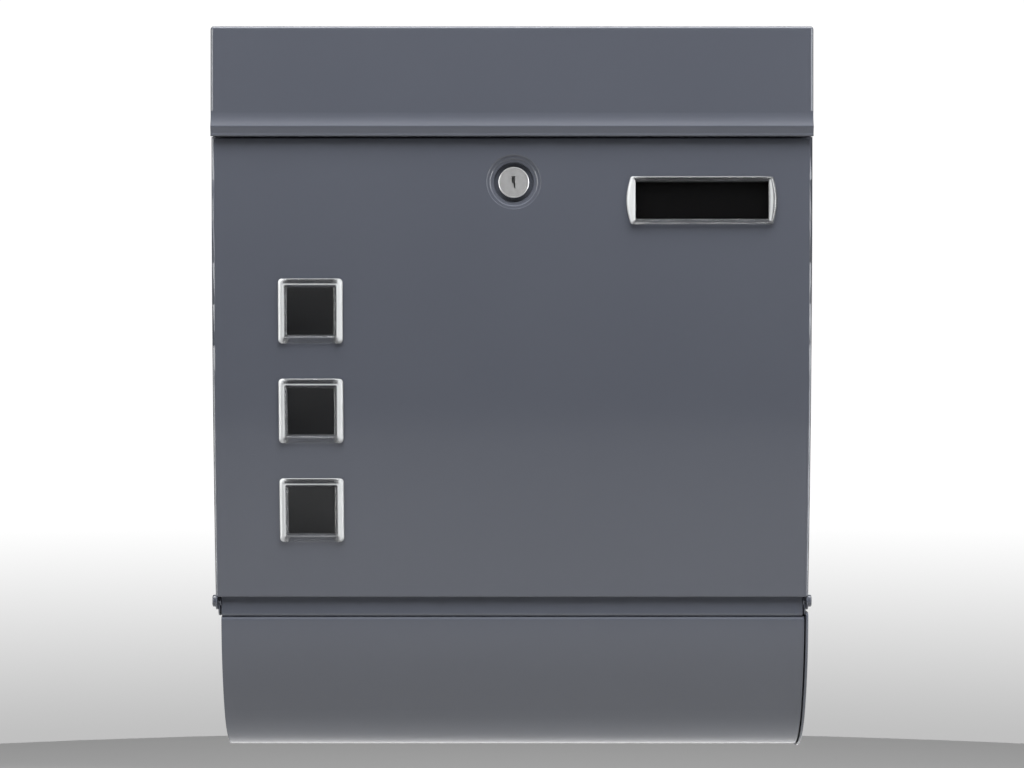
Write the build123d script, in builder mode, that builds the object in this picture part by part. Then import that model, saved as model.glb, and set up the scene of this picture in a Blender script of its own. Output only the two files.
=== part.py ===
from build123d import *
import os
from math import asin, atan2, cos, degrees, radians, sin, sqrt, tan

# A wall-mounted sheet-steel mailbox: a wall box, a hinged rain lid over its mail slot, a door that
# drops open on two pins and locks at the top, and a rolled newspaper holder under the box.
# Millimetres. +X right, +Z up, the wall is the plane Y = 0 and the front faces -Y. The origin is
# the centre of the four wall-screw holes, on the back face.

os.makedirs("parts", exist_ok=True)

# ---------------------------------------------------------------- driving dimensions
SHEET = 1.0                 # steel sheet
BEND = 2.2                  # outer radius of a right-angle bend
RUN = 0.05                  # radial clearance of a turning pin in its hole
SNUG = 0.02                 # and of a pin or thread that is fixed in its hole

BOX_HALF = 183.3            # half width over the side panels
BOX_FLOOR = -182.8          # underside of the box
WALL_HOLES = (320.0, 260.0)  # spacing of the wall screws, across and up
WALL_HOLE_R = 3.25

LID_HALF = 185.0
LID_FRONT = -105.0          # outer face of the lid's front panel
LID_BACK = -5.0             # rear edge of the lid's top panel
LID_TOP = 182.0             # height of the top panel at the front
LID_SLOPE = 3.0             # degrees, the top panel sheds rain forwards
LID_SKIRT = 115.4           # bottom edge of the lid's side flanges
LID_FLARE = 128.9           # height where the front panel starts to flare out
LID_HINGE = (-9.0, 181.0)   # Y, Z of the lid's hinge line
LID_PIN_R = 1.75
LID_PIN_RADII = (2.8, LID_PIN_R, 3.2)  # riveted tail, shank and head

DOOR_HALF = 184.7
DOOR_TOP = 114.3            # just low enough to swing out under the lid's lip
DOOR_FRONT = -102.5         # outer face at the top edge, where it stands upright
DOOR_BOTTOM = -170.4
DOOR_BOTTOM_Y = -80.0       # the curved face falls back towards the wall at its bottom edge
DOOR_FLANGE = 18.0          # depth of the door's side flanges
DOOR_RETURN = 5.0           # depth of the short flange along the door's top edge
DOOR_HEM = 7.0              # height of the folded hem along the door's bottom edge
DOOR_HINGE = (-75.0, -173.0)  # Y, Z of the door's hinge line
DOOR_PIN_R = 2.0
DOOR_PIN_RADII = (3.0, DOOR_PIN_R, 3.75)
EAR_R = 5.4                 # hinge ear round each door pin

SILL_HALF = 181.4
SILL_FRONT = -76.8
SILL_TOP = -162.5
SILL_CORNER = 1.5           # round of its two lower corners

RAIL_TOP = 113.8            # cross rail that the mail slides over and the door shuts against
RAIL_FRONT = -96.5
RAIL_LIP = 103.0            # bottom edge of the rail's front lip
RAIL_WEB = -87.0            # rear face of the web that the lock's cam catches
RAIL_WEB_BOTTOM = 98.5

WINDOW_X = -124.0
WINDOW_SIZE = 40.0
WINDOW_HOLE = 30.0
WINDOW_HEIGHTS = {"upper": 7.4, "middle": -54.1, "lower": -115.6}

NAME_AT = (116.6, 75.3)     # X, Z
NAME_SIZE = (87.2, 29.4)    # straight part of the cover
NAME_BULGE = 2.8            # rise of the cover's round ends
NAME_HOLE = (83.0, 23.6)

LOCK_X = 1.1
LOCK_Z = 86.4
LOCK_HEAD_R = 9.4
LOCK_THREAD_R = 7.9
LOCK_BORE_R = 5.5
PLUG_FACE_R = 7.7
DISH_DEPTH = 4.0

HOLDER_ENDS = (-181.5, 182.5)  # open left end and right end of the sheet
HOLDER_TOP_R = BEND         # bend into its front flange
HOLDER_LEAN = 3.5           # the front leans in by this many degrees at its top
HOLDER_TOP_Y = -77.0        # where that bend starts
HOLDER_TOP = (HOLDER_TOP_Y, BOX_FLOOR - HOLDER_TOP_R * (1 + sin(radians(HOLDER_LEAN))))
END_CAP = (183.4, 185.0)    # inner and outer face of the end cap, right-hand side only

# ---------------------------------------------------------------- shapes used more than once
DOOR_DROP = DOOR_TOP - DOOR_BOTTOM
DOOR_SAG = DOOR_BOTTOM_Y - DOOR_FRONT
DOOR_RADIUS = (DOOR_DROP**2 + DOOR_SAG**2) / (2 * DOOR_SAG)


def face_y(z):
    """Y of the door's outer face at height z."""
    return DOOR_FRONT + DOOR_RADIUS - sqrt(DOOR_RADIUS**2 - (DOOR_TOP - z) ** 2)


def face_tilt(z):
    """Lean of the door's face at height z, in degrees from upright."""
    return degrees(asin((DOOR_TOP - z) / DOOR_RADIUS))


def face_plane(x, z, lift=0.0):
    """A plane on the door's face: x to the right, y up the face, normal out of the door."""
    lean = radians(face_tilt(z))
    out = (0, -cos(lean), -sin(lean))
    origin = (x, face_y(z) + lift * out[1], z + lift * out[2])
    return Plane(origin=origin, x_dir=(1, 0, 0), z_dir=out)


def lid_top_z(y):
    """Height of the lid's top panel, outer face, at depth y."""
    return LID_TOP + (y - LID_FRONT) * tan(radians(LID_SLOPE))


def bent_strip(points, side):
    """A sheet seen edge on: its face line through the points, with its thickness on one side."""
    with BuildSketch() as strip:
        with BuildLine():
            FilletPolyline(*points, radius=BEND)
            offset(amount=SHEET, side=side)
        make_face()
    return strip.sketch


def face_profile(depth_front, depth_back, z_low, z_high):
    """A Y, Z outline between two heights that follows the door's curved face at two depths."""
    z_mid = (z_low + z_high) / 2
    with BuildSketch() as outline:
        with BuildLine():
            front = ThreePointArc(*[(face_y(z) + depth_front, z) for z in (z_high, z_mid, z_low)])
            back = ThreePointArc(*[(face_y(z) + depth_back, z) for z in (z_low, z_mid, z_high)])
            Line(front @ 1, back @ 0)
            Line(back @ 1, front @ 0)
        make_face()
    return outline.sketch


def edges_near(part, x=None, y=None, z=None):
    """Edges whose middle has the given distance from the YZ plane, depth and height."""
    found = []
    for edge in part.edges():
        middle = edge.position_at(0.5)
        ok = x is None or abs(abs(middle.X) - x) < 0.1
        ok = ok and (y is None or abs(middle.Y - y) < 0.1)
        ok = ok and (z is None or abs(middle.Z - z) < 0.1)
        if ok:
            found.append(edge)
    return ShapeList(found)


def corner_near(sketch, spot):
    """The corner of a sketch that is nearest to a point."""
    return sketch.vertices().sort_by(lambda corner: (corner.X - spot[0]) ** 2 + (corner.Y - spot[1]) ** 2)[0]


def across(side, x_from, x_to):
    """The YZ plane at |x| = x_from on one side, and the signed distance on to x_to."""
    return Plane.YZ.offset(side * x_from), side * (x_to - x_from)


def finish(piece, name):
    """Label a finished piece and write its STEP file."""
    piece.part.label = name
    export_step(piece.part, f"parts/{name}.step")


# ---------------------------------------------------------------- wall box
BOX_INNER = BOX_HALF - SHEET
SIDE_TOP_GAP = 0.9          # side panels stop this far under the lid's top panel
LUG_R = 4.7                 # rounded lug of each side panel round the lid's hinge
NOTCH_Z = 176.0             # the side panels are cut back behind the lug down to here
SIDE_FRONT = -100.0         # front edge of the side panels above the door
SIDE_REVEAL = 2.0           # side panels stop this far behind the door's outer face
LOW_STEP = (-162.0, -158.0)  # the front edge steps back between these heights, behind the hinge
TOP_NOTCH = (108.0, 116.0)  # and is notched between these, for the door's top flange
SIDE_BOTTOM = BOX_FLOOR + 0.5


def side_panel_outline():
    """One side panel of the box, as a Y, Z outline."""
    hinge_y, hinge_z = LID_HINGE
    lean = radians(LID_SLOPE)
    lug_start = (hinge_y + LUG_R, hinge_z)
    lug_end = (hinge_y - LUG_R * sin(lean), hinge_z + LUG_R * cos(lean))
    top_front = (SIDE_FRONT, lid_top_z(SIDE_FRONT) - SHEET - SIDE_TOP_GAP)
    notch_low, notch_high = TOP_NOTCH
    face_heights = (notch_low, (notch_low + LOW_STEP[1]) / 2, LOW_STEP[1])
    face = [(face_y(z) + SIDE_REVEAL, z) for z in face_heights]
    with BuildSketch() as outline:
        with BuildLine():
            RadiusArc(lug_start, lug_end, -LUG_R)
            Polyline(
                lug_end,
                top_front,
                (SIDE_FRONT, notch_high),
                (RAIL_FRONT, notch_high),
                (RAIL_FRONT, notch_low),
                face[0],
            )
            ThreePointArc(*face)
            Polyline(
                face[2],
                (SILL_FRONT, LOW_STEP[0]),
                (SILL_FRONT, SIDE_BOTTOM),
                (0, SIDE_BOTTOM),
                (0, NOTCH_Z),
                (lug_start[0], NOTCH_Z),
                lug_start,
            )
        make_face()
        fillet(corner_near(outline, (SILL_FRONT, SIDE_BOTTOM)), radius=4.0)
    return outline.sketch


def build_body_shell():
    """Back panel and both side panels, bent from one sheet."""
    outline = side_panel_outline()
    back_top = lid_top_z(0) - 1.0
    with BuildPart() as body_shell:
        for side in (-1, 1):
            plane, width = across(side, BOX_INNER, BOX_HALF)
            with BuildSketch(plane):
                add(outline)
            extrude(amount=width)
        with BuildSketch(Plane.XZ):
            with Locations((0, (back_top + SIDE_BOTTOM) / 2)):
                Rectangle(2 * BOX_HALF, back_top - SIDE_BOTTOM)
        extrude(amount=SHEET)
        fillet(edges_near(body_shell, x=BOX_HALF, y=0).filter_by(Axis.Z), radius=BEND)
        fillet(edges_near(body_shell, x=BOX_INNER, y=-SHEET).filter_by(Axis.Z), radius=BEND - SHEET)
        with BuildSketch(Plane.XZ):
            with GridLocations(*WALL_HOLES, 2, 2):
                Circle(WALL_HOLE_R)
        extrude(amount=SHEET, mode=Mode.SUBTRACT)
        for hinge, radius in ((LID_HINGE, LID_PIN_R), (DOOR_HINGE, DOOR_PIN_R)):
            with BuildSketch(Plane.YZ):
                with Locations(hinge):
                    Circle(radius + SNUG)
            extrude(amount=BOX_HALF, both=True, mode=Mode.SUBTRACT)
    finish(body_shell, "body_shell")


HOLDER_SCREWS = [(x, y) for x in (-150, -50, 50, 150) for y in (-66, -10)]
HOLDER_SCREW_R = 2.0
HOLDER_HOLE_R = 2.2


def holder_holes(z_from, depth):
    """Cut the screw holes downwards through the floor or the holder's flanges."""
    with BuildSketch(Plane.XY.offset(z_from)) as holes:
        with Locations(*HOLDER_SCREWS):
            Circle(HOLDER_HOLE_R)
    extrude(holes.sketch, amount=-depth, mode=Mode.SUBTRACT)


def build_box_bottom():
    """Floor of the box with its front sill, rear flange and side flanges."""
    profile = bent_strip(
        [(SILL_FRONT, SILL_TOP), (SILL_FRONT, BOX_FLOOR), (-SHEET, BOX_FLOOR), (-SHEET, BOX_FLOOR + 12)],
        Side.LEFT,
    )
    with BuildPart() as box_bottom:
        with BuildSketch(Plane.YZ):
            add(profile)
        extrude(amount=SILL_HALF, both=True)
        for side in (-1, 1):
            plane, width = across(side, BOX_INNER - SHEET, BOX_INNER)
            with BuildSketch(plane):
                with Locations((-37, BOX_FLOOR + 6)):
                    Rectangle(62, 12)
            extrude(amount=width)
        fillet(edges_near(box_bottom, x=BOX_INNER, z=BOX_FLOOR).filter_by(Axis.Y), radius=0.8)
        for side in (-1, 1):
            with BuildSketch(Plane.XZ.offset(-SILL_FRONT)):
                with Locations((side * SILL_HALF, BOX_FLOOR)):
                    Rectangle(2 * SILL_CORNER, 2 * SILL_CORNER)
                with Locations((side * (SILL_HALF - SILL_CORNER), BOX_FLOOR + SILL_CORNER)):
                    Circle(SILL_CORNER, mode=Mode.SUBTRACT)
            extrude(amount=-4, mode=Mode.SUBTRACT)
        # the rear corners stay clear of the bends between the back and side panels
        with BuildSketch(Plane.XY.offset(BOX_FLOOR)):
            with Locations((-SILL_HALF, -SHEET), (SILL_HALF, -SHEET)):
                Rectangle(3, 3)
        extrude(amount=14, mode=Mode.SUBTRACT)
        holder_holes(BOX_FLOOR + SHEET, SHEET)
    finish(box_bottom, "box_bottom")


def build_cross_rail():
    """Channel across the top of the door opening, with a tab at each end for the side panels."""
    profile = bent_strip(
        [(RAIL_FRONT, RAIL_LIP), (RAIL_FRONT, RAIL_TOP), (RAIL_WEB, RAIL_TOP), (RAIL_WEB, RAIL_WEB_BOTTOM)],
        Side.RIGHT,
    )
    with BuildPart() as cross_rail:
        with BuildSketch(Plane.YZ):
            add(profile)
        extrude(amount=BOX_INNER, both=True)
        for side in (-1, 1):
            plane, width = across(side, BOX_INNER - SHEET, BOX_INNER)
            with BuildSketch(plane):
                with Locations(((RAIL_FRONT + RAIL_WEB) / 2, RAIL_TOP - 4.5)):
                    Rectangle(RAIL_WEB - RAIL_FRONT - SHEET, 8)
            extrude(amount=width)
    finish(cross_rail, "cross_rail")


# ---------------------------------------------------------------- lid
FLARE_ARC = (16.0, 30.0)    # radius and turn of the hollow curve that leads out to the lip's crest
CREST_ARC = (1.3, 43.0)     # and of the tight bend at the crest
LIP_RUN = 5.0               # straight run of the lip under the crest
LIP_HEM = 3.6
HEM_PROUD = 0.35            # the fold of the hem stands this far out of the lip
LIP_HALF = 184.7


def build_lid_shell():
    """Rain lid: sloping top, front panel with a flared, hemmed lip, and two side flanges."""
    rear_top = lid_top_z(LID_BACK)
    with BuildSketch() as lip_profile:
        with BuildLine():
            start = Line((LID_FRONT, LID_FLARE + 1), (LID_FRONT, LID_FLARE))
            flare = JernArc(start @ 1, start % 1, FLARE_ARC[0], -FLARE_ARC[1])
            crest = JernArc(flare @ 1, flare % 1, *CREST_ARC)
            lip = Line(crest @ 1, crest @ 1 + LIP_RUN * (crest % 1))
            offset(amount=SHEET, side=Side.LEFT)
        make_face()
        down = lip % 1
        hem_end = lip @ 1 + (SHEET - HEM_PROUD) * Vector(-down.Y, down.X)
        with Locations(hem_end):
            Circle(SHEET)
        with Locations(lip @ 1 + SHEET * Vector(-down.Y, down.X) - LIP_HEM / 2 * down):
            SlotCenterToCenter(LIP_HEM, 2 * SHEET, rotation=degrees(atan2(down.Y, down.X)))
    with BuildPart() as lid_shell:
        with BuildSketch(Plane.YZ):
            with BuildLine():
                Polyline(
                    (LID_FRONT, LID_SKIRT),
                    (LID_FRONT, LID_TOP),
                    (LID_BACK, rear_top),
                    (LID_BACK, LID_SKIRT),
                    close=True,
                )
            make_face()
        extrude(amount=LID_HALF, both=True)
        bends = edges_near(lid_shell, x=LID_HALF, y=LID_FRONT)
        bends += edges_near(lid_shell, x=0, y=LID_FRONT, z=LID_TOP)
        bends += edges_near(lid_shell, x=LID_HALF, z=(LID_TOP + rear_top) / 2)
        fillet(bends, radius=BEND)
        openings = lid_shell.faces().filter_by(Axis.Z).sort_by(Axis.Z)[:1]
        openings += lid_shell.faces().sort_by(Axis.Y)[-1:]
        offset(amount=-SHEET, openings=openings)
        with BuildSketch(Plane.XZ.offset(-LID_FRONT)):
            with Locations((0, (LID_SKIRT + LID_FLARE) / 2)):
                Rectangle(2 * LID_HALF, LID_FLARE - LID_SKIRT)
        extrude(amount=-BEND, mode=Mode.SUBTRACT)
        with BuildSketch(Plane.YZ):
            add(lip_profile.sketch)
        extrude(amount=LIP_HALF, both=True)
        with BuildSketch(Plane.YZ):
            with Locations(LID_HINGE):
                Circle(LID_PIN_R + RUN)
        extrude(amount=LID_HALF, both=True, mode=Mode.SUBTRACT)
    finish(lid_shell, "lid_shell")


def pin_pair(name, hinge, radii, stations):
    """Two riveted hinge pins: stations are |x| of tail end, box inner face, head face, head end."""
    tail_r, shank_r, head_r = radii
    tail_end, tail_face, head_face, head_end = stations
    with BuildPart() as pins:
        for side in (-1, 1):
            for x_from, x_to, radius in (
                (tail_end, tail_face, tail_r),
                (tail_face, head_face, shank_r),
                (head_face, head_end, head_r),
            ):
                plane, length = across(side, x_from, x_to)
                with BuildSketch(plane):
                    with Locations(hinge):
                        Circle(radius)
                extrude(amount=length)
        fillet(edges_near(pins, x=head_end).filter_by(GeomType.CIRCLE), radius=0.8)
    finish(pins, name)


# ---------------------------------------------------------------- door
def build_door_shell():
    """Curved door with flanged sides, hinge ears, a hemmed bottom edge and a pressed lock dish."""
    block = face_profile(0, DOOR_FLANGE, DOOR_BOTTOM + 1, DOOR_TOP)
    lean = radians(face_tilt(DOOR_BOTTOM + 1))
    hem_low = (face_y(DOOR_BOTTOM + 1) + SHEET * cos(lean), DOOR_BOTTOM + 1 + SHEET * sin(lean))
    hem_mid = (hem_low[0] - DOOR_HEM / 2 * sin(lean), hem_low[1] + DOOR_HEM / 2 * cos(lean))
    inner_half = DOOR_HALF - SHEET
    dish_face = face_y(LOCK_Z)
    with BuildPart() as door_shell:
        with BuildSketch(Plane.YZ):
            add(block)
        extrude(amount=DOOR_HALF, both=True)
        front = door_shell.faces().sort_by(Axis.Y)[0]
        bends = front.edges().filter_by(lambda edge: edge.position_at(0.5).Z > DOOR_BOTTOM + 5)
        fillet(bends, radius=1.8)
        openings = door_shell.faces().filter_by(GeomType.CYLINDER).sort_by(Axis.Y)[-1:]
        openings += door_shell.faces().sort_by(Axis.Z)[:1]
        offset(amount=-SHEET, openings=openings)
        # the top flange is cut back to a short return, clear of the cross rail
        with BuildSketch(Plane.XZ.offset(-(DOOR_FRONT + DOOR_RETURN))):
            with Locations((0, DOOR_TOP - 5)):
                Rectangle(2 * inner_half, 12)
        extrude(amount=-DOOR_FLANGE, mode=Mode.SUBTRACT)
        # folded hem along the bottom edge
        with BuildSketch(Plane.YZ):
            with Locations(hem_mid):
                SlotCenterToCenter(DOOR_HEM, 2 * SHEET, rotation=90 + degrees(lean))
        extrude(amount=DOOR_HALF - 1.2, both=True)
        # hinge ears
        for side in (-1, 1):
            plane, width = across(side, inner_half, DOOR_HALF)
            with BuildSketch(plane):
                with Locations(DOOR_HINGE):
                    Circle(EAR_R)
                with Locations((DOOR_HINGE[0] + 1, DOOR_HINGE[1] + 4)):
                    Rectangle(2 * EAR_R - 2.2, 8)
            extrude(amount=width)
        with BuildSketch(Plane.YZ):
            with Locations(DOOR_HINGE):
                Circle(DOOR_PIN_R + RUN)
        extrude(amount=DOOR_HALF, both=True, mode=Mode.SUBTRACT)
        # openings for the three windows and the name plate
        for z in WINDOW_HEIGHTS.values():
            with BuildSketch(face_plane(WINDOW_X, z)):
                RectangleRounded(WINDOW_HOLE, WINDOW_HOLE, 1.0)
            extrude(amount=3, both=True, mode=Mode.SUBTRACT)
        with BuildSketch(face_plane(*NAME_AT)):
            RectangleRounded(*NAME_HOLE, 1.0)
        extrude(amount=3, both=True, mode=Mode.SUBTRACT)
        # pressed dish round the lock: a cup behind the face, hollowed from the front
        with BuildSketch(Plane((LOCK_X, 0, LOCK_Z))):
            with BuildLine():
                Polyline(
                    (0, dish_face + 0.6),
                    (17.6, dish_face + 0.6),
                    (16.6, dish_face + 1.7),
                    (14.0, dish_face + 2.6),
                    (13.2, dish_face + DISH_DEPTH + SHEET),
                    (0, dish_face + DISH_DEPTH + SHEET),
                    close=True,
                )
            make_face()
        revolve(axis=Axis((LOCK_X, 0, LOCK_Z), (0, 1, 0)))
        with BuildSketch(Plane((LOCK_X, 0, LOCK_Z))):
            with BuildLine():
                Polyline(
                    (0, dish_face - 1.5),
                    (17.3, dish_face - 1.5),
                    (17.1, dish_face - 0.25),
                    (16.3, dish_face + 0.55),
                    (14.8, dish_face + 0.7),
                    (14.1, dish_face + 1.3),
                    (12.4, dish_face + 1.6),
                    (12.0, dish_face + DISH_DEPTH),
                    (0, dish_face + DISH_DEPTH),
                    close=True,
                )
            make_face()
        revolve(axis=Axis((LOCK_X, 0, LOCK_Z), (0, 1, 0)), mode=Mode.SUBTRACT)
        with BuildSketch(Plane.XZ):
            with Locations((LOCK_X, LOCK_Z)):
                Circle(LOCK_THREAD_R + SNUG)
        extrude(amount=-DOOR_FRONT + 5, mode=Mode.SUBTRACT)
    finish(door_shell, "door_shell")


PANE_PROUD = 2.5            # a window stands this far out of the door
CLIP_RING = 36.0            # outer size of the clip ring behind a window
CLIP_DEPTH = 1.6
BACK_GAP = 0.15             # flat pieces behind the curved door stand this far off it


def build_window(name, z):
    """One clear window with a bevelled frame, and the clip ring that holds it from behind."""
    behind = -SHEET - BACK_GAP - CLIP_DEPTH
    with BuildPart() as pane:
        with BuildSketch(face_plane(WINDOW_X, z, 0.02)):
            RectangleRounded(WINDOW_SIZE, WINDOW_SIZE, 2.5)
        extrude(amount=PANE_PROUD)
        chamfer(pane.faces().sort_by(Axis.Y)[0].edges(), length=1.2)
        with BuildSketch(face_plane(WINDOW_X, z, behind)):
            RectangleRounded(WINDOW_HOLE - 0.2, WINDOW_HOLE - 0.2, 1.0)
        extrude(amount=-behind + 0.1)
    finish(pane, f"window_{name}_pane")
    with BuildPart() as clip:
        with BuildSketch(face_plane(WINDOW_X, z, behind)):
            RectangleRounded(CLIP_RING, CLIP_RING, 2)
            RectangleRounded(WINDOW_HOLE - 0.2, WINDOW_HOLE - 0.2, 1.0, mode=Mode.SUBTRACT)
        extrude(amount=CLIP_DEPTH)
    finish(clip, f"window_{name}_clip")


NAME_PROUD = 3.0
CARD_SIZE = (81.8, 22.4)


def bulged_outline(width, height, rise):
    """A rectangle whose two ends bow outwards."""
    with BuildSketch() as outline:
        with BuildLine():
            for end in (-1, 1):
                corner = end * width / 2
                ThreePointArc((corner, -height / 2), (corner + end * rise, 0), (corner, height / 2))
                Line((-width / 2, end * height / 2), (width / 2, end * height / 2))
        make_face()
    return outline.sketch


def build_name_plate():
    """Clear cover in the door's name opening, the card behind it, and the tray that holds both."""
    cover_outline = bulged_outline(*NAME_SIZE, NAME_BULGE)
    plug_depth = SHEET + 1.0
    with BuildPart() as cover:
        with BuildSketch(face_plane(*NAME_AT, 0.02)):
            add(cover_outline)
        extrude(amount=NAME_PROUD)
        chamfer(cover.faces().sort_by(Axis.Y)[0].edges(), length=1.0)
        with BuildSketch(face_plane(*NAME_AT, -plug_depth)):
            RectangleRounded(NAME_HOLE[0] - 0.2, NAME_HOLE[1] - 0.2, 1.0)
        extrude(amount=plug_depth + 0.1)
    finish(cover, "name_cover")
    with BuildPart() as card:
        with BuildSketch(face_plane(*NAME_AT, -plug_depth - 0.4)):
            Rectangle(*CARD_SIZE)
        extrude(amount=0.4)
    finish(card, "name_card")
    with BuildPart() as tray:
        with BuildSketch(face_plane(*NAME_AT, -plug_depth - 1.6)):
            RectangleRounded(90, 30, 3)
        extrude(amount=plug_depth + 1.6 - SHEET - BACK_GAP)
        with BuildSketch(face_plane(*NAME_AT, -plug_depth - 0.4)):
            RectangleRounded(NAME_HOLE[0], NAME_HOLE[1], 1.0)
        extrude(amount=plug_depth + 0.4, mode=Mode.SUBTRACT)
    finish(tray, "name_tray")


# ---------------------------------------------------------------- cam lock
LOCK_FACE = face_y(LOCK_Z)             # the lock's head is flush with the door
LOCK_SEAT = LOCK_FACE + DISH_DEPTH     # its head sits on the dish's floor
LOCK_END = -86.4                       # rear end of the threaded barrel
CAM_FACE = LOCK_END + 0.3
CAM_THICK = 1.5
CAM_REACH = 22.0
CAM_HALF = 6.5                         # half width of the cam
CAM_SQUARE = 6.0
LOCK_WASHER = (11.5, 0.8)              # radius and thickness
LOCK_NUT = (10.0, 3.5)                 # half width over the flats and height
SCREW_R = 2.0
PLUG_FACE_DEPTH = 2.4
KEY_SLOT = ((-0.3, 1.6, 2.1, 4.4), (0.4, -1.9, 1.0, 3.2))  # X, Z, width, height of its two steps
KEY_DEPTH = 8.0


def lock_disc(y_from, y_to, radius, mode=Mode.ADD):
    """A round slice of the lock between two depths."""
    with BuildSketch(Plane.XZ.offset(-y_to)) as disc:
        with Locations((LOCK_X, LOCK_Z)):
            Circle(radius)
    extrude(disc.sketch, amount=y_to - y_from, mode=mode)


def build_lock():
    """Cam lock: barrel, washer and nut on the door, and a plug that turns its cam."""
    with BuildPart() as barrel:
        lock_disc(LOCK_FACE, LOCK_SEAT, LOCK_HEAD_R)
        chamfer(edges_near(barrel, y=LOCK_FACE).filter_by(GeomType.CIRCLE), length=0.5)
        lock_disc(LOCK_SEAT, LOCK_END, LOCK_THREAD_R)
        lock_disc(LOCK_FACE, LOCK_FACE + PLUG_FACE_DEPTH + RUN, PLUG_FACE_R + RUN, mode=Mode.SUBTRACT)
        lock_disc(LOCK_FACE, LOCK_END, LOCK_BORE_R + RUN, mode=Mode.SUBTRACT)
    finish(barrel, "lock_barrel")

    washer_face = LOCK_SEAT + SHEET
    nut_face = washer_face + LOCK_WASHER[1]
    with BuildPart() as washer:
        lock_disc(washer_face, nut_face, LOCK_WASHER[0])
        lock_disc(washer_face, nut_face, LOCK_THREAD_R + 0.1, mode=Mode.SUBTRACT)
    finish(washer, "lock_washer")

    with BuildPart() as nut:
        with BuildSketch(Plane.XZ.offset(-nut_face)):
            with Locations((LOCK_X, LOCK_Z)):
                RegularPolygon(LOCK_NUT[0], 6, major_radius=False)
                Circle(LOCK_THREAD_R + SNUG, mode=Mode.SUBTRACT)
        extrude(amount=-LOCK_NUT[1])
    finish(nut, "lock_nut")

    with BuildPart() as plug:
        lock_disc(LOCK_FACE, LOCK_FACE + PLUG_FACE_DEPTH, PLUG_FACE_R)
        lock_disc(LOCK_FACE + PLUG_FACE_DEPTH, CAM_FACE, LOCK_BORE_R)
        with BuildSketch(Plane.XZ.offset(-CAM_FACE)):
            with Locations((LOCK_X, LOCK_Z)):
                Rectangle(CAM_SQUARE, CAM_SQUARE)
        extrude(amount=-CAM_THICK)
        lock_disc(CAM_FACE - 5, CAM_FACE + CAM_THICK, SCREW_R, mode=Mode.SUBTRACT)
        with BuildSketch(Plane.XZ.offset(-LOCK_FACE)):
            for x, z, width, height in KEY_SLOT:
                with Locations((LOCK_X + x, LOCK_Z + z)):
                    Rectangle(width, height)
        extrude(amount=-KEY_DEPTH, mode=Mode.SUBTRACT)
    finish(plug, "lock_plug")

    with BuildPart() as cam:
        with BuildSketch(Plane.XZ.offset(-CAM_FACE)):
            with Locations((LOCK_X + (CAM_REACH - CAM_HALF) / 2, LOCK_Z)):
                SlotOverall(CAM_REACH + CAM_HALF, 2 * CAM_HALF)
            with Locations((LOCK_X, LOCK_Z)):
                Rectangle(CAM_SQUARE, CAM_SQUARE, mode=Mode.SUBTRACT)
        extrude(amount=-CAM_THICK)
    finish(cam, "lock_cam")

    seat = CAM_FACE + CAM_THICK
    head_end = seat + 2.2
    with BuildPart() as screw:
        lock_disc(CAM_FACE - 4, seat, SCREW_R)
        lock_disc(seat, head_end, 4.6)
        fillet(edges_near(screw, y=head_end).filter_by(GeomType.CIRCLE), radius=0.8)
        with BuildSketch(Plane.XZ.offset(-head_end)):
            with Locations((LOCK_X, LOCK_Z)):
                Rectangle(6.4, 1.1)
                Rectangle(1.1, 6.4)
        extrude(amount=1.3, mode=Mode.SUBTRACT)
    finish(screw, "cam_screw")


# ---------------------------------------------------------------- newspaper holder
HOLDER_ARCS = ((135.0, 26.0), (53.5, 60.5))  # radius and turn of the front and under curves
HOLDER_FLANGES = (16.0, 20.0)  # depth of the front and rear flanges, screwed under the box
CAP_PROUD = 1.2             # the end cap stands this far outside the sheet
CAP_TOP = -179.8
CAP_TAB_X = 162.0           # the cap's two tabs reach in to here
CAP_WALL_TAB = (36.0, 60.0)  # middle below the flange, and height, of the tab by the wall
CAP_FLANGE_TAB = (-11.0, 12.0)  # Y and depth of the tab under the rear flange


def holder_path(grow=0.0):
    """The holder's outer line, from the top of its front round underneath to the wall."""
    lean = radians(HOLDER_LEAN)
    (front_r, front_turn), (under_r, under_turn) = HOLDER_ARCS
    start = (HOLDER_TOP[0] - grow, HOLDER_TOP[1])
    front = JernArc(start, (sin(lean), -cos(lean)), front_r + grow, front_turn)
    under = JernArc(front @ 1, front % 1, under_r + grow, under_turn)
    rear = JernArc(under @ 1, under % 1, -(under @ 1).X, 90)
    return front, under, rear


def build_holder_sheet():
    """Newspaper holder: one sheet rolled into a trough, flanged inwards at both upper edges."""
    with BuildSketch() as profile:
        with BuildLine():
            front, _, rear = holder_path()
            up = Line(rear @ 1, (0, BOX_FLOOR - BEND))
            corner = JernArc(up @ 1, up % 1, BEND, 90)
            Line(corner @ 1, (-HOLDER_FLANGES[1], BOX_FLOOR))
            fold = JernArc(front @ 0, -(front % 0), HOLDER_TOP_R, -90 - HOLDER_LEAN)
            Line(fold @ 1, (HOLDER_TOP[0] + HOLDER_FLANGES[0], (fold @ 1).Y))
            offset(amount=SHEET, side=Side.LEFT)
        make_face()
    with BuildPart() as holder_sheet:
        with BuildSketch(Plane.YZ.offset(HOLDER_ENDS[0])):
            add(profile.sketch)
        extrude(amount=HOLDER_ENDS[1] - HOLDER_ENDS[0])
        holder_holes(BOX_FLOOR, SHEET)
    finish(holder_sheet, "holder_sheet")


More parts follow.
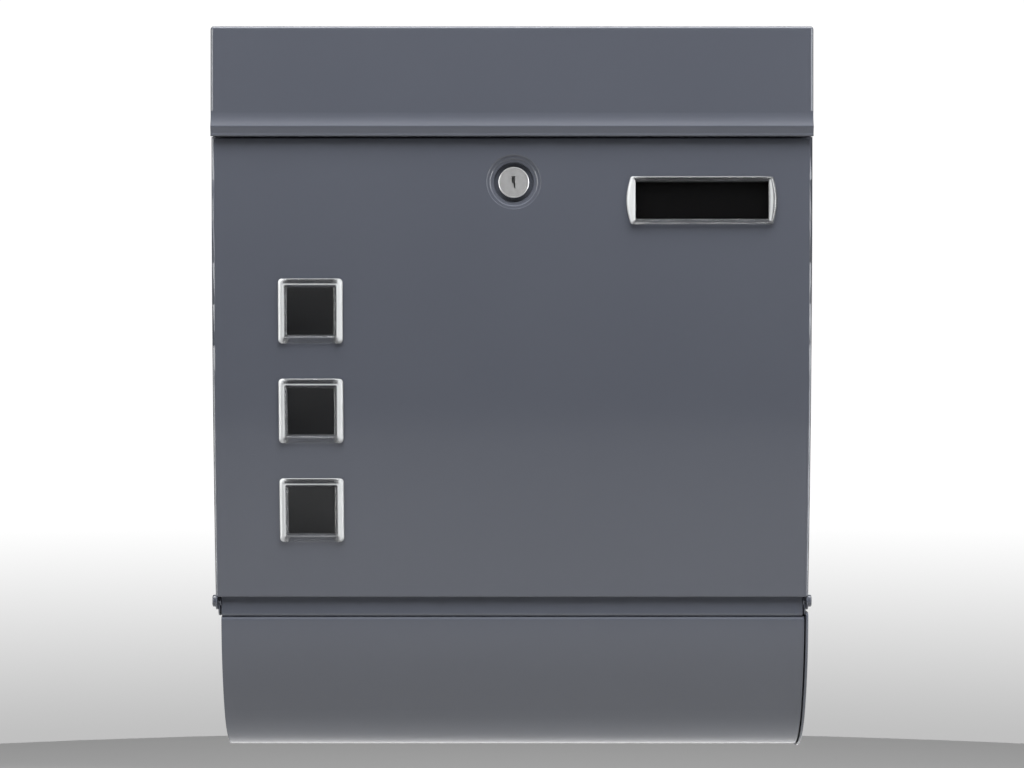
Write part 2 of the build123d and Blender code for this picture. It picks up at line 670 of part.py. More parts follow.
def build_end_cap():
    """Cap that closes the right-hand end of the holder, with tabs on its back and its flange."""
    inner, outer = END_CAP
    with BuildSketch() as outline:
        with BuildLine():
            front, _, rear = holder_path(CAP_PROUD)
            Polyline(rear @ 1, (0, CAP_TOP), ((front @ 0).X, CAP_TOP), front @ 0)
        make_face()
        fillet(corner_near(outline, ((front @ 0).X, CAP_TOP)), radius=3.2)
    with BuildPart() as end_cap:
        with BuildSketch(Plane.YZ.offset(inner)):
            add(outline.sketch)
        extrude(amount=outer - inner)
        fillet(end_cap.faces().sort_by(Axis.X)[-1].edges(), radius=0.6)
        flange_low = BOX_FLOOR - SHEET
        with BuildSketch(Plane.YZ.offset(CAP_TAB_X)):
            with Locations((-SHEET * 1.5, flange_low - CAP_WALL_TAB[0])):
                Rectangle(SHEET, CAP_WALL_TAB[1])
            with Locations((CAP_FLANGE_TAB[0], flange_low - SHEET / 2)):
                Rectangle(CAP_FLANGE_TAB[1], SHEET)
        extrude(amount=inner - CAP_TAB_X + 0.2)
    finish(end_cap, "holder_end_cap")


SCREW_HEAD = (3.8, 2.4)     # radius and height
SCREW_LENGTH = 7.0
NUT = (3.5, 3.2)            # half width over the flats and height


def build_holder_fasteners():
    """Machine screws down through the box floor and the holder's flange, and their nuts."""
    floor_top = BOX_FLOOR + SHEET
    flange_low = BOX_FLOOR - SHEET
    with BuildPart() as screws:
        with BuildSketch(Plane.XY.offset(floor_top)):
            with Locations(*HOLDER_SCREWS):
                Circle(SCREW_HEAD[0])
        extrude(amount=SCREW_HEAD[1])
        fillet(edges_near(screws, z=floor_top + SCREW_HEAD[1]).filter_by(GeomType.CIRCLE), radius=1.0)
        with BuildSketch(Plane.XY.offset(floor_top)):
            with Locations(*HOLDER_SCREWS):
                Circle(HOLDER_SCREW_R)
        extrude(amount=-SCREW_LENGTH)
    finish(screws, "holder_screws")
    with BuildPart() as nuts:
        with BuildSketch(Plane.XY.offset(flange_low)):
            with Locations(*HOLDER_SCREWS):
                RegularPolygon(NUT[0], 6, major_radius=False)
            with Locations(*HOLDER_SCREWS):
                Circle(HOLDER_SCREW_R + SNUG, mode=Mode.SUBTRACT)
        extrude(amount=-NUT[1])
    finish(nuts, "holder_nuts")


# ---------------------------------------------------------------- build every piece
build_body_shell()
build_box_bottom()
build_cross_rail()
build_lid_shell()
pin_pair("lid_hinge_pins", LID_HINGE, LID_PIN_RADII, (BOX_INNER - 1, BOX_INNER, LID_HALF + 0.1, 186.3))
build_door_shell()
pin_pair("door_hinge_pins", DOOR_HINGE, DOOR_PIN_RADII, (BOX_INNER - 0.7, BOX_INNER, DOOR_HALF + 0.1, 187.0))
for window_name, window_z in WINDOW_HEIGHTS.items():
    build_window(window_name, window_z)
build_name_plate()
build_lock()
build_holder_sheet()
build_end_cap()
build_holder_fasteners()
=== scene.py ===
# %% [markdown]
# # A wall mailbox in painted sheet steel
# The mailbox comes from a CAD model that already has every sheet, pin and screw in its true place.
# This lesson gives it its looks: the paint, the clear plastic, the metal of the lock, and the light.
# First the frame is loaded. It never moves here: the lesson only adds finishes and finer pieces.

# %% Load the frame
import math

import bmesh
import bpy
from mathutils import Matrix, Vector


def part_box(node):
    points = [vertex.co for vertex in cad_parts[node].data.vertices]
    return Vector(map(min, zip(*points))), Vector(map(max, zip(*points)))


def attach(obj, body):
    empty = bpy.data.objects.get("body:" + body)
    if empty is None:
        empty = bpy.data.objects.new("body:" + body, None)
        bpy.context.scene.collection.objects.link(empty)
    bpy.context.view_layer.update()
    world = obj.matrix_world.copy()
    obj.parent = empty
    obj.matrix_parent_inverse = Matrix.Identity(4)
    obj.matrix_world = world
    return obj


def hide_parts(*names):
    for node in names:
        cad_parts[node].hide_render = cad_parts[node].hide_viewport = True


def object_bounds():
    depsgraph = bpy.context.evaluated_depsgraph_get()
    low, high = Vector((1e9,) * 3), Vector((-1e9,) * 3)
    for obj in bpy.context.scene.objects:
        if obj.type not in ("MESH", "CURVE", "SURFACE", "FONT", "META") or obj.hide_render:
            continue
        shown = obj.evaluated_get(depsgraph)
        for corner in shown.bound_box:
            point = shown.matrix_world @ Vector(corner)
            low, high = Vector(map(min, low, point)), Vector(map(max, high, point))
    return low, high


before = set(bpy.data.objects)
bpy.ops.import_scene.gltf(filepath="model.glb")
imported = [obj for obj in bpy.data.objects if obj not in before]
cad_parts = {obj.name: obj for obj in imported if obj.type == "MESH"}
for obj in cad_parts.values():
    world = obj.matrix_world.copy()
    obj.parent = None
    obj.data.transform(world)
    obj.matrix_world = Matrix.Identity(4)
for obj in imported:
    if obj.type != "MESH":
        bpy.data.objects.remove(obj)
CAD_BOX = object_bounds()
LOW, HIGH = (Vector(corner) for corner in CAD_BOX)
print("frame:", len(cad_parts), "nodes,", [round(side * 1000) for side in HIGH - LOW], "mm")

# %% [markdown]
# ## The camera
# The camera stands level, square to the front, a little above the middle of the mailbox, about
# one and a half metres away. A long lens keeps the sides of the box from showing. It comes first,
# because every later decision about detail is judged through it.

# %% Camera
MM = 0.001
SENSOR = 36.0
VIEW_DISTANCE = 1.5
SIGHT_HEIGHT = -0.0375
LENS = 85.9
BEHIND_LIP = 4.8                # mm from the lid's lip back to the top of the door's face


def add_camera(name, place, lens):
    """A camera that looks straight along +Y."""
    data = bpy.data.cameras.new(name)
    data.lens = lens
    data.sensor_width = SENSOR
    camera = bpy.data.objects.new(name, data)
    camera.location = place
    camera.rotation_euler = (math.radians(90), 0, 0)
    bpy.context.scene.collection.objects.link(camera)
    bpy.context.scene.camera = camera
    return camera


lid_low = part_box("lid_shell")[0]
door_front = lid_low.y + BEHIND_LIP * MM
add_camera("front_camera", (0, door_front - VIEW_DISTANCE, SIGHT_HEIGHT), LENS)
print("camera", VIEW_DISTANCE, "m in front of the door, lens", LENS, "mm")

# %% [markdown]
# ## A short way to write shader maths
# A material is a small sum of masks. Written as plain Python, such as `1 - mask * 0.4`, it can be
# read at a glance, so one small class wraps a socket and turns each operator into its Math node.
# `node` makes every other kind of node from its type, its settings and its inputs.

# %% Shader helpers
class Wire:
    """A socket that can be added, subtracted, multiplied and divided."""

    def __init__(self, material, socket):
        self.material, self.socket = material, socket

    def _math(self, operation, first, second):
        made = self.material.node("ShaderNodeMath", {"operation": operation}, {0: first, 1: second})
        return made["Value"]

    def __add__(self, other):
        return self._math("ADD", self, other)

    def __radd__(self, other):
        return self._math("ADD", other, self)

    def __sub__(self, other):
        return self._math("SUBTRACT", self, other)

    def __rsub__(self, other):
        return self._math("SUBTRACT", other, self)

    def __mul__(self, other):
        return self._math("MULTIPLY", self, other)

    def __rmul__(self, other):
        return self._math("MULTIPLY", other, self)

    def __truediv__(self, other):
        return self._math("DIVIDE", self, other)

    def __rtruediv__(self, other):
        return self._math("DIVIDE", other, self)


class Finish:
    """A material with one Principled shader, and helpers that add the nodes that vary it."""

    def __init__(self, name, color, roughness, **fixed):
        self.data = bpy.data.materials.new(name)
        self.data.use_nodes = True
        self.tree = self.data.node_tree
        self.shader = self.tree.nodes["Principled BSDF"]
        self.shader.inputs["Base Color"].default_value = (*color, 1)
        self.shader.inputs["Roughness"].default_value = roughness
        for socket, value in fixed.items():
            self.shader.inputs[socket.replace("_", " ")].default_value = value

    def node(self, kind, settings=None, values=None):
        """Make a node: its settings first, then values or wires into its sockets."""
        made = self.tree.nodes.new(kind)
        for key, setting in (settings or {}).items():
            setattr(made, key, setting)
        for key, value in (values or {}).items():
            if isinstance(value, Wire):
                self.tree.links.new(value.socket, made.inputs[key])
            else:
                made.inputs[key].default_value = value
        return {output.name: Wire(self, output) for output in made.outputs if output.enabled}

    def drive(self, socket, wire):
        """Feed a wire into one of the shader's own sockets."""
        self.tree.links.new(wire.socket, self.shader.inputs[socket])

    def place(self):
        """Where the point is on the object, in metres, before any joint moves it."""
        return self.node("ShaderNodeTexCoord")["Object"]

    def painted(self, name):
        """A number that the mesh carries at each of its points."""
        return self.node("ShaderNodeAttribute", {"attribute_name": name})["Fac"]

    def noise(self, scale, detail=2.0, stretch=(1, 1, 1)):
        """Soft cloud noise from 0 to 1, scale in bumps per metre."""
        spot = self.node("ShaderNodeMapping", {}, {"Vector": self.place(), "Scale": stretch})["Vector"]
        inputs = {"Vector": spot, "Scale": scale, "Detail": detail, "Roughness": 0.5}
        return self.node("ShaderNodeTexNoise", {}, inputs)["Fac"]

    def blend(self, mask, low, high):
        """A colour that goes from low to high as the mask goes from 0 to 1."""
        inputs = {"Factor": mask, "A": (*low, 1), "B": (*high, 1)}
        made = self.tree.nodes.new("ShaderNodeMix")
        made.data_type = "RGBA"
        for key, value in inputs.items():
            target = [s for s in made.inputs if s.name == key and s.enabled][0]
            if isinstance(value, Wire):
                self.tree.links.new(value.socket, target)
            else:
                target.default_value = value
        return Wire(self, [s for s in made.outputs if s.enabled][0])

    def bump(self, height, strength, distance):
        """Raise the surface by a height map, given in metres at full height."""
        inputs = {"Height": height, "Strength": strength, "Distance": distance}
        self.drive("Normal", self.node("ShaderNodeBump", {}, inputs)["Normal"])


print("helpers ready")

# %% [markdown]
# ## Floor and backdrop
# The mailbox hangs over a plain pale floor inside a round white room, so it has a clean backdrop
# from every side. The floor takes part in the lighting and throws some light back up. The wall
# only has to look white: it glows, but is hidden from the paint, since a glowing wall all round
# would wash out every shadow. It rises from the floor in a wide bend, and is greyer at its foot,
# but the floor's edge still shows as a faint line.

# %% Floor and backdrop
FLOOR_DROP = 0.45
ROOM_RADIUS = 3.2
ROOM_BEND = 0.8
ROOM_TOP = 3.4
AROUND = 96
BEND_STEPS = 12
FLOOR_TONE = (0.5, 0.5, 0.5)
WALL_FOOT = (0.5, 0.5, 0.5)
WALL_WHITE = (1, 1, 1)
WALL_GLOW = 1.05
FLOOR_Z = LOW.z - FLOOR_DROP


def spin(name, line):
    """A round sheet: its profile is given as radius and height, and turned about the Z axis."""
    mesh = bmesh.new()
    turns = [2 * math.pi * step / AROUND for step in range(AROUND)]
    rows = []
    for radius, height in line:
        ring = [(radius * math.cos(turn), radius * math.sin(turn), height) for turn in turns]
        rows.append([mesh.verts.new(point) for point in ring])
    for lower, upper in zip(rows, rows[1:]):
        for step, corner in enumerate(lower):
            after = (step + 1) % AROUND
            mesh.faces.new((corner, lower[after], upper[after], upper[step])).smooth = True
    # a profile that starts on the axis gives one point there, not a ring of them
    bmesh.ops.remove_doubles(mesh, verts=mesh.verts, dist=1e-6)
    data = bpy.data.meshes.new(name)
    mesh.to_mesh(data)
    mesh.free()
    made = bpy.data.objects.new(name, data)
    bpy.context.scene.collection.objects.link(made)
    return made


def wall_line():
    """The wall's profile: out of the floor in a quarter circle, then straight up."""
    for step in range(BEND_STEPS + 1):
        turn = math.radians(90 * step / BEND_STEPS)
        yield ROOM_RADIUS + ROOM_BEND * math.sin(turn), FLOOR_Z + ROOM_BEND * (1 - math.cos(turn))
    yield ROOM_RADIUS + ROOM_BEND, ROOM_TOP


pale_floor = Finish("pale_floor", FLOOR_TONE, 0.9)
pale_floor.drive("Roughness", 0.85 + pale_floor.noise(3, 2) * 0.1)
floor = spin("floor", [(0, FLOOR_Z), (1.0, FLOOR_Z), (ROOM_RADIUS, FLOOR_Z)])
floor.data.materials.append(pale_floor.data)

white_wall = Finish(
    "white_wall", (0, 0, 0), 1.0, Specular_IOR_Level=0, Emission_Strength=WALL_GLOW
)
height = white_wall.node("ShaderNodeSeparateXYZ", {}, {"Vector": white_wall.place()})["Z"]
climb = {"Value": height, "From Min": FLOOR_Z, "From Max": FLOOR_Z + ROOM_BEND / 2}
lift = white_wall.node("ShaderNodeMapRange", {"clamp": True}, climb)["Result"]
white_wall.drive("Emission Color", white_wall.blend(lift, WALL_FOOT, WALL_WHITE))
wall = spin("wall", list(wall_line()))
wall.data.materials.append(white_wall.data)
wall.visible_diffuse = False
wall.visible_glossy = False
print("floor", round(FLOOR_DROP * 100), "cm under the mailbox, wall", ROOM_RADIUS + ROOM_BEND, "m away")

# %% [markdown]
# ## Light
# Painted steel is judged by its reflections, so the lamps are wide, soft panels. The key panel
# hangs high in front, so the lid's lip throws a dark, soft shadow on the door, and a panel behind
# lights the back. These two light surfaces and aren't reflected. The boards do the opposite: they
# only show in reflections, like the white boards that are put round a glossy product. The ones at
# the sides draw the lines along the upright bends, the one overhead lights the lid's top edge and
# the lower arcs of the dish round the lock, and a weak one hangs in the key panel's place.

# %% Lamps
LAMPS_FACE = Vector((0, -0.1, 0))
LAMPS = {
    # name: (place, width, height, watts, colour, lights the paint, shows in reflections)
    "key_panel": ((0.15, -1.3, 2.5), 4.2, 1.7, 340, (1.0, 1.0, 1.0), True, False),
    "key_board": ((0.15, -1.3, 2.5), 4.2, 1.7, 60, (1.0, 1.0, 1.0), False, True),
    "left_board": ((-1.65, -0.85, 0.0), 1.3, 2.2, 75, (1.0, 1.0, 0.98), False, True),
    "right_board": ((1.65, -0.85, 0.0), 1.3, 2.2, 85, (0.96, 0.98, 1.0), False, True),
    "top_board": ((0, -0.1, 1.6), 2.2, 0.7, 80, (1.0, 1.0, 1.0), False, True),
    "back_panel": ((0.3, 1.9, 0.9), 2.4, 1.6, 90, (1.0, 1.0, 1.0), True, False),
}


def add_lamp(name, place, width, height, watts, color, lights, reflects):
    """A soft panel turned to face the mailbox."""
    data = bpy.data.lights.new(name, "AREA")
    data.shape = "RECTANGLE"
    data.size, data.size_y = width, height
    data.energy = watts
    data.color = color
    lamp = bpy.data.objects.new(name, data)
    lamp.location = place
    aim = LAMPS_FACE - Vector(place)
    lamp.rotation_euler = aim.to_track_quat("-Z", "Y").to_euler()
    lamp.visible_diffuse = lights
    lamp.visible_glossy = reflects
    lamp.visible_camera = False
    bpy.context.scene.collection.objects.link(lamp)


for lamp_name, settings in LAMPS.items():
    add_lamp(lamp_name, *settings)

SKY = 0.05
world = bpy.data.worlds.new("studio")
bpy.context.scene.world = world
world.use_nodes = True
background = world.node_tree.nodes["Background"].inputs
background["Color"].default_value = (1, 1, 1, 1)
background["Strength"].default_value = SKY
bpy.context.scene.view_settings.view_transform = "Standard"
print(len(LAMPS), "lamps and a sky of", SKY)

# %% [markdown]
# ## Powder coat
# The steel is coated with a semi-gloss anthracite powder. Baked powder flows out almost flat but
# keeps a fine ripple, like orange peel, and a slow drift in how much it shines. Both are made from
# noise: the ripple as a bump of a few thousandths of a millimetre, the drift in roughness. A thin
# clear coat on top gives the crisp lines of light along the bends.

# %% Powder coat
PAINT = (0.051, 0.0555, 0.07)
PAINT_LIGHT = (0.056, 0.061, 0.076)


def powder_coat():
    coat = Finish(
        "powder_coat", PAINT, 0.4, IOR=1.5, Specular_IOR_Level=0.2, Coat_Weight=0.6, Coat_Roughness=0.1
    )
    drift = coat.noise(9, 2)
    speckle = coat.noise(2600, 2)
    coat.drive("Base Color", coat.blend(drift * 0.7 + speckle * 0.3, PAINT, PAINT_LIGHT))
    coat.drive("Roughness", 0.36 + drift * 0.06 + speckle * 0.03)
    ripple = coat.noise(520, 3)
    coat.bump(ripple, 0.35, 0.00004)
    return coat.data


def assign(node, material):
    """Give a CAD node its finish."""
    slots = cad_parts[node].data.materials
    slots.clear()
    slots.append(material)


coated = ["body_shell", "box_bottom", "cross_rail", "lid_shell", "door_shell"]
coated += ["holder_sheet", "holder_end_cap", "lid_hinge_pins", "door_hinge_pins"]
paint = powder_coat()
for node in coated:
    assign(node, paint)
print("coated:", ", ".join(coated))

# %% [markdown]
# ## Metal of the lock and the fasteners
# The lock's face is die-cast zinc with a satin nickel plating, turned on a lathe, so it carries
# fine rings about its own centre. The rings come from the distance to that centre, which the CAD
# box of the barrel gives. The screws and nuts are plain galvanised steel, with the cloudy patches
# of zinc crystals.

# %% Metals
lock_low, lock_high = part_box("lock_barrel")
LOCK_CENTRE = (Vector(lock_low) + Vector(lock_high)) / 2
NICKEL = (0.5, 0.5, 0.505)
NICKEL_DULL = (0.4, 0.4, 0.405)
LATHE_RINGS = 42000             # radians of ripple for each metre of radius
ZINC = (0.47, 0.48, 0.49)
ZINC_DULL = (0.33, 0.34, 0.36)


def satin_nickel():
    metal = Finish("satin_nickel", NICKEL, 0.35, Metallic=0.75)
    spot = metal.node("ShaderNodeSeparateXYZ", {}, {"Vector": metal.place()})
    across, up = spot["X"] - LOCK_CENTRE.x, spot["Z"] - LOCK_CENTRE.z
    radius = metal.node("ShaderNodeMath", {"operation": "SQRT"}, {0: across * across + up * up})["Value"]
    rings = metal.node("ShaderNodeMath", {"operation": "SINE"}, {0: radius * LATHE_RINGS})["Value"]
    cloud = metal.noise(420, 3)
    metal.drive("Base Color", metal.blend(cloud, NICKEL_DULL, NICKEL))
    metal.drive("Roughness", 0.3 + cloud * 0.14)
    metal.bump(rings * 0.5 + 0.5, 0.3, 0.00001)
    return metal.data


def galvanised():
    steel = Finish("galvanised_steel", ZINC, 0.4, Metallic=0.9)
    patches = steel.noise(300, 2)
    steel.drive("Base Color", steel.blend(patches, ZINC_DULL, ZINC))
    steel.drive("Roughness", 0.32 + patches * 0.2)
    steel.bump(steel.noise(1800, 2), 0.3, 0.00003)
    return steel.data


nickel = satin_nickel()
zinc = galvanised()
for node in ("lock_barrel", "lock_plug"):
    assign(node, nickel)
fasteners = ("lock_nut", "lock_washer", "lock_cam", "cam_screw", "holder_screws", "holder_nuts")
for node in fasteners:
    assign(node, zinc)
print("plated: lock face and plug, and", len(fasteners), "kinds of fastener")

# %% [markdown]
# ## Card and moulded black parts
# Behind the name window lies a card, printed solid black. The tray that holds it, and the clip
# rings behind the three windows, are black nylon with the fine grain of a spark-eroded mould.

# %% Card and black plastic
def black_card():
    card = Finish("black_card", (0.003, 0.003, 0.0032), 0.85, Specular_IOR_Level=0.02)
    fibres = card.noise(900, 4, stretch=(1, 1, 6))
    card.drive("Base Color", card.blend(fibres, (0.0012, 0.0012, 0.0012), (0.004, 0.004, 0.0042)))
    card.drive("Roughness", 0.8 + fibres * 0.15)
    card.bump(fibres, 0.25, 0.00003)
    return card.data


def black_nylon():
    nylon = Finish("black_nylon", (0.012, 0.012, 0.013), 0.55)
    grain = nylon.noise(3200, 2)
    nylon.drive("Base Color", nylon.blend(grain, (0.009, 0.009, 0.01), (0.017, 0.017, 0.018)))
    nylon.drive("Roughness", 0.48 + grain * 0.18)
    nylon.bump(grain, 0.4, 0.00003)
    return nylon.data


assign("name_card", black_card())
nylon = black_nylon()
clips = [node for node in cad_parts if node.endswith("_clip")]
for node in clips + ["name_tray"]:
    assign(node, nylon)
print("black parts:", ", ".join(clips), "and name_tray")

# %% [markdown]
# ## Clear plastic
# The windows and the name cover are moulded in clear acrylic, with a raised rim round a thinner
# middle. The light in the rim is painted: its two upright bars are painted milky white, a painted
# reflection of the side lamps, while the bars along the top and bottom stay see-through with thin
# painted highlights along their edges. Each piece is one closed loft of rounded rings, from its rear
# face, over the rim, to its middle. Every ring carries two numbers for each of its four sides: how
# much painted highlight it has, and how much it covers what lies behind. The material reads both
# from the mesh, so the painted light in the rim stays with the moulding from every side.

# %% Loft of rounded rings
ARC_STEPS = 6
SIDE_STEPS = 10
SIDES = ("left", "right", "top", "bottom")


def ring_points(half_width, half_height, corner, bow):
    """Points round a rounded rectangle whose ends may bow out: x, y and the way each one faces."""
    points = []
    for quarter in range(4):
        start = quarter * math.pi / 2
        sign_x, sign_y = ((1, 1), (-1, 1), (-1, -1), (1, -1))[quarter]
        middle = (sign_x * (half_width - corner), sign_y * (half_height - corner))
        for step in range(ARC_STEPS + 1):
            turn = start + step * math.pi / 2 / ARC_STEPS
            way = (math.cos(turn), math.sin(turn))
            points.append((middle[0] + corner * way[0], middle[1] + corner * way[1], way))
        # the straight side that follows this corner
        turn = start + math.pi / 2
        way = (round(math.cos(turn)), round(math.sin(turn)))
        span = half_width - corner if way[1] else half_height - corner
        reach = half_height if way[1] else half_width
        for step in range(1, SIDE_STEPS):
            along = span * (1 - 2 * step / SIDE_STEPS)
            x = way[0] * reach + way[1] * along
            y = way[1] * reach - way[0] * along
            points.append((x, y, way))
    rise = [bow * (1 - (y / half_height) ** 2) * (1 if x > 0 else -1) * abs(way[0]) for x, y, way in points]
    return [(x + lift, y, way) for (x, y, way), lift in zip(points, rise)]


def side_shares(x, way, bar):
    """How much a point belongs to each of the four sides. The shares add up to one.

    The upright bars run the full height: beyond bar, in metres from the middle, they have it all.
    """
    upright = max(way[0] ** 2, min(max((abs(x) - bar) / (2 * MM), 0), 1))
    level = 1 - upright
    return {
        "left": upright if x < 0 else 0,
        "right": upright if x > 0 else 0,
        "top": level if way[1] > 0 else 0,
        "bottom": level if way[1] <= 0 else 0,
    }


print("one ring has", len(ring_points(0.02, 0.02, 0.0025, 0)), "points")

# %% Where a clear piece sits
def seat(node):
    """The middle and the directions of a clear piece's front face: right, up and out."""
    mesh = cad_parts[node].data
    front = max(mesh.polygons, key=lambda face: -face.normal.y * face.area)
    out = front.normal.normalized()
    flush = [vertex.co for vertex in mesh.vertices if abs((vertex.co - front.center).dot(out)) < 0.01 * MM]
    low, high = ([pick(point[axis] for point in flush) for axis in range(3)] for pick in (min, max))
    middle = (Vector(low) + Vector(high)) / 2
    right = Vector((1, 0, 0))
    return middle, right, out.cross(right) * -1, out


middle, right, up, out = seat("window_upper_pane")
print("upper window leans", round(math.degrees(math.asin(-out.z)), 1), "degrees")

# %% Build a clear piece
def build_clear(name, node, bar, rings):
    """Loft the rings into one closed piece. Depths are measured back from the front face."""
    middle, right, up, out = seat(node)
    mesh = bmesh.new()
    # each point carries two layers: how much painted highlight it has, and how much it covers what lies
    # behind
    painted_highlight = mesh.verts.layers.float.new("painted_highlight")
    cover = mesh.verts.layers.float.new("cover")
    loops = []
    for size, depth, looks in rings:
        loop = []
        for x, y, way in ring_points(*[length * MM for length in size]):
            vertex = mesh.verts.new(middle + right * x + up * y - out * depth * MM)
            shares = side_shares(x, way, bar * MM)
            vertex[painted_highlight] = sum(shares[side] * looks[side][0] for side in SIDES)
            vertex[cover] = sum(shares[side] * looks[side][1] for side in SIDES)
            loop.append(vertex)
        loops.append(loop)
    for lower, upper in zip(loops, loops[1:]):
        for index, corner in enumerate(lower):
            after = (index + 1) % len(lower)
            mesh.faces.new((corner, lower[after], upper[after], upper[index])).smooth = True
    mesh.faces.new(list(reversed(loops[0])))
    mesh.faces.new(loops[-1])
    bmesh.ops.recalc_face_normals(mesh, faces=mesh.faces)
    data = bpy.data.meshes.new(name)
    mesh.to_mesh(data)
    mesh.free()
    piece = bpy.data.objects.new(name, data)
    bpy.context.scene.collection.objects.link(piece)
    piece.data.materials.append(clear)
    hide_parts(node)
    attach(piece, "door")
    return piece


def looks(left, right, top, bottom):
    """Painted highlight and cover for each side of a ring."""
    return dict(zip(SIDES, (left, right, top, bottom)))


# %% Clear acrylic
def clear_acrylic():
    acrylic = Finish("clear_acrylic", (0.9, 0.9, 0.9), 0.06, IOR=1.49)
    # the painted highlight lifts the base colour from near black to milky white; where it is low, the
    # near-black base paints shade over what lies behind
    painted_highlight = acrylic.painted("painted_highlight")
    haze = acrylic.noise(220, 2, stretch=(1, 1, 0.25))
    painted_highlight_tone = painted_highlight * (0.9 + haze * 0.2)
    acrylic.drive("Base Color", acrylic.blend(painted_highlight_tone, (0.004, 0.004, 0.0045), (0.43, 0.44, 0.445)))
    acrylic.drive("Alpha", acrylic.painted("cover"))
    acrylic.drive("Roughness", 0.05 + haze * 0.04 + painted_highlight * 0.1)
    acrylic.bump(acrylic.noise(150, 1), 0.25, 0.00005)
    return acrylic.data


clear = clear_acrylic()
print("clear acrylic is ready")

# %% [markdown]
# ## Windows
# Each window is 40 mm square. Its rim slopes up over 4 mm to a rounded crest, drops into a narrow
# groove, and ends in a fine bead round the flat middle. The rear part is a plug that fills the hole
# in the door.

# %% Windows
CLEAR = (0.0, 0.06)
BACK = looks(CLEAR, CLEAR, CLEAR, CLEAR)
# the flat middle is painted partly dark: it covers about a third of the view behind with near-black,
# painted shade, and carries a faint painted highlight
SHADED_MIDDLE = looks((0.07, 0.3), (0.07, 0.3), (0.05, 0.28), (0.1, 0.32))
DARK_MIDDLE = looks((0, 0.02), (0, 0.02), (0, 0.02), (0, 0.02))
WINDOW_BAR = 15.4
# the looks paint the rim's light: milky upright bars and bright lines along the lower rims are painted
# highlights
WINDOW_RINGS = [
    # (half width, half height, corner, bow), depth, looks
    ((14.9, 14.9, 1.0, 0), 5.2, BACK),
    ((14.9, 14.9, 1.0, 0), 2.48, BACK),
    ((19.8, 19.8, 2.4, 0), 2.47, looks((0.8, 0.9), (0.8, 0.9), (0.2, 0.2), (0.6, 0.6))),
    ((20.0, 20.0, 2.5, 0), 2.2, looks((0.6, 0.7), (0.6, 0.7), (0.35, 0.3), (0.9, 0.8))),
    ((19.9, 19.9, 2.4, 0), 1.5, looks((0.8, 0.85), (0.6, 0.75), (0.1, 0.06), (0.8, 0.7))),
    ((19.4, 19.4, 2.2, 0), 0.8, looks((1, 1), (0.7, 0.85), (0.2, 0.12), (0.1, 0.08))),
    ((18.4, 18.4, 1.9, 0), 0.3, looks((0.8, 0.95), (1, 1), (0.05, 0.05), (0.1, 0.1))),
    ((17.4, 17.4, 1.5, 0), 0.08, looks((0.85, 0.95), (1, 1), (0.1, 0.08), (0.05, 0.15))),
    ((16.7, 16.7, 1.3, 0), 0.02, looks((0.95, 1), (1, 1), (0.2, 0.15), (0.9, 0.85))),
    ((16.3, 16.3, 1.2, 0), 0.0, looks((0.9, 0.95), (0.9, 0.95), (0.35, 0.35), (1, 0.95))),
    ((16.0, 16.0, 1.1, 0), 0.25, looks((0.2, 0.5), (0.3, 0.5), (0.5, 0.4), (0.6, 0.6))),
    ((15.6, 15.6, 1.0, 0), 0.9, looks((0, 0.6), (0, 0.6), (0.05, 0.25), (0, 0.45))),
    ((15.2, 15.2, 0.9, 0), 1.1, looks((0.05, 0.5), (0.05, 0.5), (0.05, 0.3), (0.05, 0.5))),
    ((14.95, 14.95, 0.8, 0), 0.95, looks((0.45, 0.6), (0.45, 0.6), (0.25, 0.5), (0.2, 0.5))),
    ((14.7, 14.7, 0.8, 0), 0.95, looks((0.4, 0.6), (0.4, 0.6), (0.2, 0.5), (0.15, 0.5))),
    ((14.5, 14.5, 0.8, 0), 1.2, SHADED_MIDDLE),
    ((13.6, 13.6, 0.6, 0), 1.25, SHADED_MIDDLE),
]
windows = [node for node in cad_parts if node.startswith("window_") and node.endswith("_pane")]
for node in windows:
    build_clear(node.replace("pane", "lens"), node, WINDOW_BAR, WINDOW_RINGS)
print("windows:", ", ".join(windows))

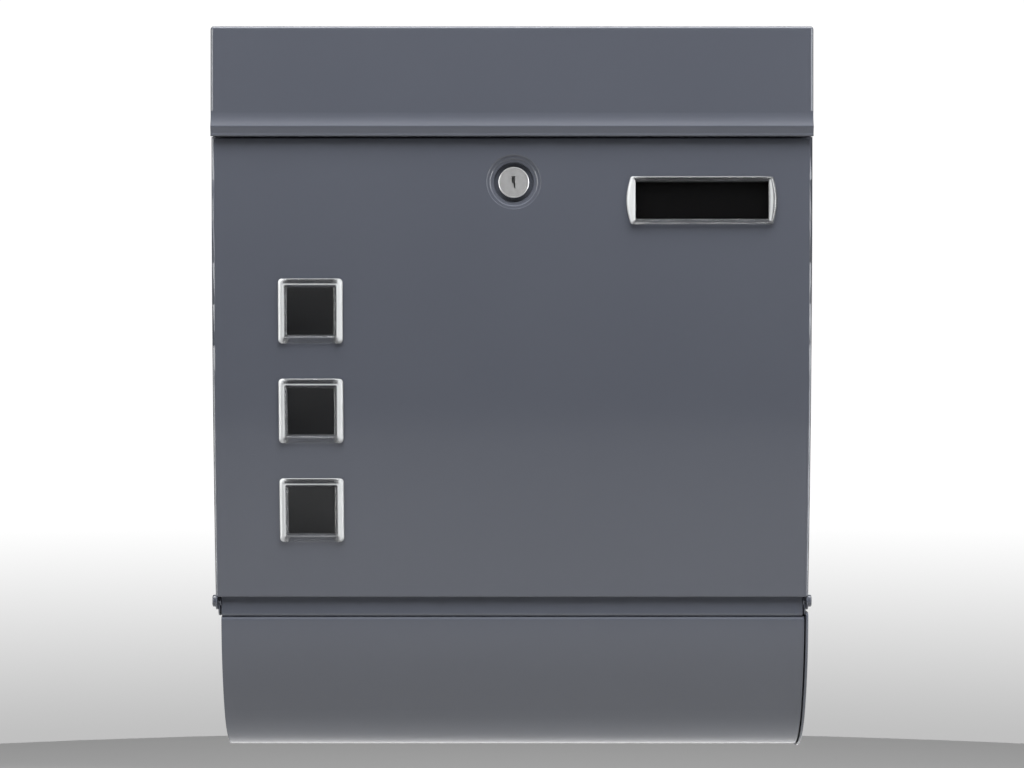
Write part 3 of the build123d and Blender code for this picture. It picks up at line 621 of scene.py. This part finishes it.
# %% [markdown]
# ## Name cover
# The cover is the same moulding stretched to 93 mm, with both ends bowed. Its light is painted: the left
# end is painted as a broad solid white wedge of reflection, the right end as white streaks, and the long
# rims are painted dark with near-black cover, standing in for the black card seen through them.

# %% Name cover
NAME_BAR = 41.0
# the looks paint the cover's light: a white wedge on the left end, streaks on the right, dark long rims
NAME_RINGS = [
    ((41.4, 11.7, 1.0, 0), 5.2, BACK),
    ((41.4, 11.7, 1.0, 0), 2.98, BACK),
    ((43.5, 14.6, 1.0, 2.7), 2.97, looks((0.7, 0.7), (0.3, 0.4), (0.3, 0.25), (0.5, 0.5))),
    ((43.6, 14.7, 1.0, 2.8), 2.6, looks((0.8, 0.8), (0.5, 0.5), (0.5, 0.4), (0.9, 0.8))),
    ((43.4, 14.6, 1.0, 2.7), 1.6, looks((0.9, 0.95), (0.2, 0.3), (0.1, 0.25), (0.8, 0.75))),
    ((43.0, 14.1, 0.9, 2.4), 0.7, looks((1, 1), (0.35, 0.35), (0.02, 0.35), (0.2, 0.45))),
    ((42.7, 13.8, 0.9, 2.1), 0.4, looks((0.95, 1), (0.7, 0.75), (0.3, 0.45), (0.02, 0.4))),
    ((42.4, 13.5, 0.8, 1.9), 0.2, looks((0.95, 1), (0.2, 0.4), (0.02, 0.5), (0.02, 0.5))),
    ((41.9, 13.0, 0.7, 1.3), 0.0, looks((1, 1), (0.9, 0.95), (0.02, 0.55), (0.02, 0.6))),
    ((41.4, 12.5, 0.6, 0.7), 0.1, looks((0.9, 1), (0.9, 0.95), (0.12, 0.6), (0.0, 0.65))),
    ((40.9, 12.0, 0.5, 0), 0.5, looks((0.8, 0.9), (0.25, 0.5), (0.02, 0.7), (0.08, 0.75))),
    ((40.8, 11.6, 0.5, 0), 1.2, looks((0.2, 0.5), (0.5, 0.6), (0.2, 0.6), (0.05, 0.6))),
    ((40.6, 11.4, 0.5, 0), 1.5, DARK_MIDDLE),
    ((39.0, 10.0, 0.5, 0), 1.5, DARK_MIDDLE),
]
build_clear("name_lens", "name_cover", NAME_BAR, NAME_RINGS)
print("name cover built of", len(NAME_RINGS), "rings")
